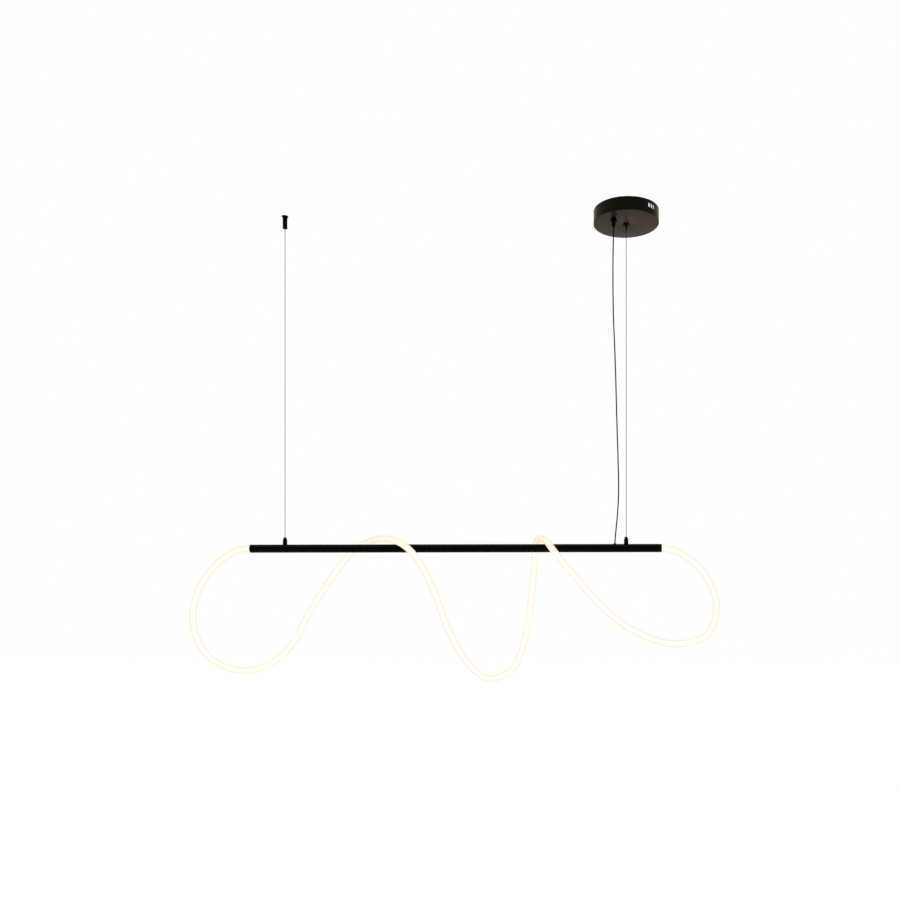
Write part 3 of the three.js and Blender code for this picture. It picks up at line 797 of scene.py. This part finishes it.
def gripper(side, x):
    bar_axis = BAR_Z / MM
    body = turned(
        side + "_gripper_barrel",
        [
            (3.6, bar_axis + 11, 0.1),
            (3.6, bar_axis + 23.2, 0.1),
            (5.0, bar_axis + 23.2, 0.5),
            (5.36, bar_axis + 13.6, 0.1),
            (5.16, bar_axis + 13.2, 0.1),
            (5.18, bar_axis + 12.6, 0.1),
            (5.42, bar_axis + 12.2, 0.1),
            (5.45, bar_axis + 6),
            (0, bar_axis + 6),
            (0, bar_axis + 11),
        ],
        place=(x, 0, 0),
        segments=96,
    )
    seat = turned(
        "seat",
        [(0, -14), (BAR_RADIUS_MM + 0.3, -14), (BAR_RADIUS_MM + 0.3, 14), (0, 14)],
        segments=192,
        along="x",
        place=(x, 0, BAR_Z),
    )
    combine(body, "DIFFERENCE", seat)
    spigot = rod("spigot", 3.7, bar_axis + 3, bar_axis + 11.5, place=(x, 0, 0))
    combine(body, "UNION", spigot)
    wire_way = rod("wire_way", 2.4, bar_axis + 2, bar_axis + 12, place=(x, 0, 0))
    combine(body, "DIFFERENCE", wire_way)
    finish_piece(body, "lamp_bar", BLACK_METAL, "black_metal", side + "_gripper_body")

    nozzle = turned(
        side + "_nozzle_collar",
        [
            (2.75, bar_axis + 20.4, 0.1),
            (3.3, bar_axis + 20.4, 0.2),
            (3.3, bar_axis + 25.5),
            (4.65, bar_axis + 25.5, 0.2),
            (4.6, bar_axis + 27, 0.6),
            (2.4, bar_axis + 27, 0.4),
            (2.4, bar_axis + 22.5, 0.1),
        ],
        place=(x, 0, 0),
        knurl=(bar_axis + 25.6, bar_axis + 26.5, 0.16),
    )
    finish_piece(nozzle, side + "_nozzle", BLACK_METAL, "black_metal", side + "_release_nozzle")


SPRING_RADIUS = 0.003
SPRING_WIRE_RADIUS = 0.00025
SPRING_HEIGHT = 0.0079
SPRING_TURNS = 4
SPRING_STEPS_PER_TURN = 32


def gripper_spring(side, x):
    """The coil under the release nozzle, built at one length; it is not made shorter when the nozzle goes
    down.
    """
    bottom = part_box(side + "_gripper_spring")[0].z + SPRING_WIRE_RADIUS
    steps = SPRING_TURNS * SPRING_STEPS_PER_TURN
    path = []
    for k in range(steps + 1):
        angle = 2 * math.pi * k / SPRING_STEPS_PER_TURN
        z = bottom + SPRING_HEIGHT * k / steps
        path.append(Vector((x + SPRING_RADIUS * math.cos(angle), SPRING_RADIUS * math.sin(angle), z)))
    obj = swept(side + "_coil_spring", path, [SPRING_WIRE_RADIUS] * 12)
    finish_piece(obj, "lamp_bar", STEEL, "steel", side + "_gripper_spring")
    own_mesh(obj)


for build in (gripper, gripper_spring):
    build("left", LEFT_X)
    build("right", RIGHT_X)


# ---- Bar ----

BAR_WALL = 1


def bar():
    low, high = bar_low.x / MM, bar_high.x / MM
    outer = BAR_RADIUS_MM
    inner = outer - BAR_WALL
    tube = turned(
        "bar_profile",
        [(inner, low, 0.2), (outer, low, 0.25), (outer, high, 0.25), (inner, high, 0.2)],
        segments=128,
        along="x",
        place=(0, 0, BAR_Z),
    )
    top_of_cut = BAR_TOP / MM + 5
    holes = [rod("hole", 4, BAR_Z / MM, top_of_cut, place=(x, 0, 0)) for x in (LEFT_X, RIGHT_X)]
    holes.append(rod("hole", 3, BAR_Z / MM, top_of_cut, place=(GROMMET.x, 0, 0)))
    for side in ("left", "right"):
        screw = box_middle(side + "_grub_screw")
        holes.append(rod("hole", 1.6, BAR_Z / MM, top_of_cut, place=(screw.x, 0, 0)))
    combine(tube, "DIFFERENCE", *holes)
    finish_piece(tube, "lamp_bar", BLACK_METAL, "black_metal", "bar_tube")


def end_sleeve(side):
    """Its spigot sits in the bar and its rounded collar ends the bar."""
    low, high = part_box(side + "_end_sleeve")
    outwards = 1 if side == "right" else -1
    inner_x, outer_x = (low.x, high.x) if outwards > 0 else (high.x, low.x)
    length = abs(outer_x - inner_x) / MM
    sleeve = turned(
        side + "_end_collar",
        [
            (8.35, 0, 0.1),
            (8.75, 0, 0.1),
            (8.75, 12),
            (10, 12, 0.25),
            (10, length, 1.0),
            (8.35, length, 0.35),
        ],
        segments=128,
        along="x",
    )
    if outwards < 0:
        sleeve.data.transform(Matrix.Rotation(math.pi, 4, "Z"))
    sleeve.data.transform(Matrix.Translation((inner_x, 0, BAR_Z)))
    finish_piece(sleeve, "lamp_bar", BLACK_METAL, "black_metal", side + "_end_sleeve")


def grub_screw(side):
    low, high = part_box(side + "_grub_screw")
    middle = (low + high) / 2
    height = (high.z - low.z) / MM
    screw = turned(
        side + "_grub_head",
        [(0, 0), (1.3, 0, 0.1), (1.3, height, 0.15), (0, height)],
        segments=48,
        place=(middle.x, 0, low.z),
    )
    socket = rod("socket", 0.75, height - 0.5, height + 1, segments=6, place=(middle.x, 0, low.z))
    combine(screw, "DIFFERENCE", socket)
    finish_piece(screw, "lamp_bar", ZINC_STEEL, "zinc_steel", side + "_grub_screw")


def grommet():
    top = BAR_TOP / MM
    ring = turned(
        "entry_grommet",
        [
            (1.8, top - 3, 0.1),
            (2.7, top - 3, 0.2),
            (2.7, top + 0.3),
            (3.8, top + 0.3, 0.15),
            (3.5, top + 1.4, 0.5),
            (1.8, top + 1.4, 0.3),
        ],
        segments=64,
        place=(GROMMET.x, 0, 0),
    )
    finish_piece(ring, "lamp_bar", BLACK_PLASTIC, "black_plastic", "cable_grommet")


bar()
for side in ("left", "right"):
    end_sleeve(side)
    grub_screw(side)
grommet()


# ---- Finishes of the CAD pieces that show as they are ----

KEPT_NODES = {
    "mounting_plate": ZINC_STEEL,
    "canopy_stud": BLACK_METAL,
    "driver_case": DRIVER_PLASTIC,
    "driver_cover": DRIVER_PLASTIC,
    "driver_board": CIRCUIT_BOARD,
    "driver_transformer": TRANSFORMER_TAPE,
    "driver_capacitor": CAPACITOR_SLEEVE,
    "terminal_block": TERMINAL_PLASTIC,
    "terminal_screw_1": BRASS,
    "terminal_screw_2": BRASS,
    "terminal_screw_3": BRASS,
    "live_lead": BROWN_LEAD,
    "neutral_lead": BLUE_LEAD,
    "earth_washer": BRASS,
    "earth_screw": ZINC_STEEL,
    "cable_gland_nut": BLACK_PLASTIC,
    "canopy_cable_end": BLACK_CABLE,
    "left_swivel_ball": BLACK_METAL,
    "right_swivel_ball": BLACK_METAL,
    "left_collet": BRASS,
    "right_collet": BRASS,
    "left_gripper_nut": ZINC_STEEL,
    "right_gripper_nut": ZINC_STEEL,
    "led_strip": LED_BOARD,
    "left_bar_lead": BLACK_CABLE,
    "right_bar_lead": BLACK_CABLE,
    "bar_cable_end": BLACK_CABLE,
    "splice_connector": TERMINAL_PLASTIC,
}
for node, material in KEPT_NODES.items():
    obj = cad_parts[node]
    obj.data.materials.clear()
    obj.data.materials.append(material)


# ---- Studio ----

FLOOR_Z = -2.3
FLOOR_SIDE = 30


def floor():
    bm = bmesh.new()
    bmesh.ops.create_grid(bm, x_segments=8, y_segments=8, size=FLOOR_SIDE / 2)
    bmesh.ops.translate(bm, verts=bm.verts, vec=(0, 0, FLOOR_Z))
    obj = new_object("floor", bm)
    material, tree, shader = new_material("pale_floor")
    shader.inputs["Specular IOR Level"].default_value = 0.0
    drift = noise(tree, object_place(tree), 1.5)
    paint = ramp(tree, drift, (0.3, (0.93, 0.93, 0.925)), (0.7, (0.96, 0.96, 0.955)))
    tree.links.new(paint, shader.inputs["Base Color"])
    shader.inputs["Roughness"].default_value = 0.9
    obj.data.materials.append(material)


def studio_light():
    """White background, and soft light that is stronger from above and behind than from the front."""
    world = bpy.data.worlds.new("studio")
    bpy.context.scene.world = world
    world.use_nodes = True
    tree = world.node_tree
    tree.nodes.clear()
    direction = add_node(tree, "ShaderNodeTexCoord").outputs["Generated"]
    parts = add_node(tree, "ShaderNodeSeparateXYZ", {"Vector": direction})
    back = spread(tree, parts.outputs["Y"], 0.18, 0.60, -0.85, 0.4)
    up = spread(tree, parts.outputs["Z"], 0.0, 0.35, 0.1, 0.9)
    total = add_node(tree, "ShaderNodeMath", operation="ADD")
    tree.links.new(back, total.inputs[0])
    tree.links.new(up, total.inputs[1])
    soft = add_node(tree, "ShaderNodeBackground", {"Strength": total.outputs["Value"]})
    white = add_node(tree, "ShaderNodeBackground", {"Strength": 1.0})
    for background in (soft, white):
        background.inputs["Color"].default_value = (1, 1, 1, 1)
    camera_ray = add_node(tree, "ShaderNodeLightPath").outputs["Is Camera Ray"]
    mix = add_node(tree, "ShaderNodeMixShader", {0: camera_ray, 1: soft.outputs[0], 2: white.outputs[0]})
    output = add_node(tree, "ShaderNodeOutputWorld")
    tree.links.new(mix.outputs[0], output.inputs["Surface"])

    sun_data = bpy.data.lights.new("soft_sun", "SUN")
    sun_data.energy = 1.4
    sun_data.angle = math.radians(50)
    sun = bpy.data.objects.new("soft_sun", sun_data)
    sun.rotation_euler = (math.radians(12), math.radians(-8), 0)
    bpy.context.scene.collection.objects.link(sun)


floor()
studio_light()
bpy.context.scene.view_settings.view_transform = "Standard"
